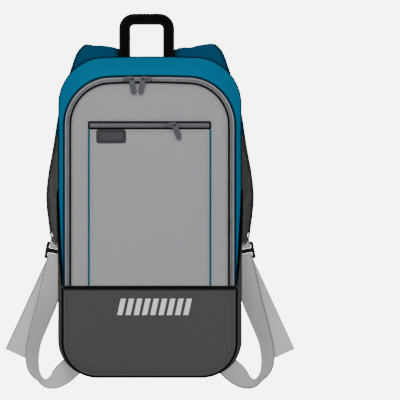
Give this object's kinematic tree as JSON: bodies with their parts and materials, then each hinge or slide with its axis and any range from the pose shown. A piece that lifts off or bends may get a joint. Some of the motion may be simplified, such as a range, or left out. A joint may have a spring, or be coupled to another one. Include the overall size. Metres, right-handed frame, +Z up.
{
  "type": "cooler backpack",
  "caption": "Soft padded cooler backpack with a zipped front, front pocket, side pockets, carry handle and shoulder straps on webbing loops.",
  "frame": {"origin": "underside of the carry handle's top band, above the middle of the bag, where a hook or hand holds it", "axes": "+Z up along the bag's height; the front with the zips faces -Y and the wearer's back is at +Y; +X is to the right seen from the front"},
  "size_m": [0.4022, 0.2328, 0.5209],
  "materials": {
    "body_cloth": "teal blue woven polyester, matt",
    "front_cloth": "light grey woven polyester, matt",
    "base_cloth": "dark grey woven polyester, matt",
    "strap_cloth": "dark teal woven polyester, matt",
    "black_band": "black binding and band, matt",
    "dark_piping": "navy piping, matt",
    "teal_piping": "teal piping, matt",
    "zip_tape": "mid grey woven zip tape",
    "zip_coil": "moulded nylon coil",
    "webbing": "light grey ribbed webbing",
    "buckle": "black moulded acetal, satin",
    "slider": "grey lacquered zip metal",
    "label": "plain dark grey tag, no print"
  },
  "bodies": {
    "root": {"gusset": "body_cloth", "back_panel": "base_cloth", "front_flap": "front_cloth", "base_front": "base_cloth", "base_wrap": "base_cloth", "side_pocket_left": "base_cloth", "side_pocket_right": "base_cloth", "pocket_binding_left": "black_band", "pocket_binding_right": "black_band", "seam_band": "black_band", "base_piping": "black_band", "zip_piping": "dark_piping", "flap_piping": "dark_piping", "main_zip_tape": "zip_tape", "main_zip_coil": "zip_coil", "main_slider_left": "slider", "main_slider_right": "slider", "main_pull_left": "slider", "main_pull_right": "slider", "front_pocket": "front_cloth", "pocket_piping_left": "teal_piping", "pocket_piping_right": "teal_piping", "pocket_zip_welt": "black_band", "pocket_zip_tape": "zip_tape", "pocket_zip_coil": "zip_coil", "pocket_slider": "slider", "pocket_pull": "slider", "label": "label", "carry_handle": "black_band", "strap_top_left": "strap_cloth", "strap_top_right": "strap_cloth", "strap_pad_left": "base_cloth", "strap_pad_right": "base_cloth", "strap_tab_left": "webbing", "strap_tab_right": "webbing", "ladder_lock_left": "buckle", "ladder_lock_right": "buckle", "webbing_left": "webbing", "webbing_right": "webbing"}
  },
  "joints": []
}
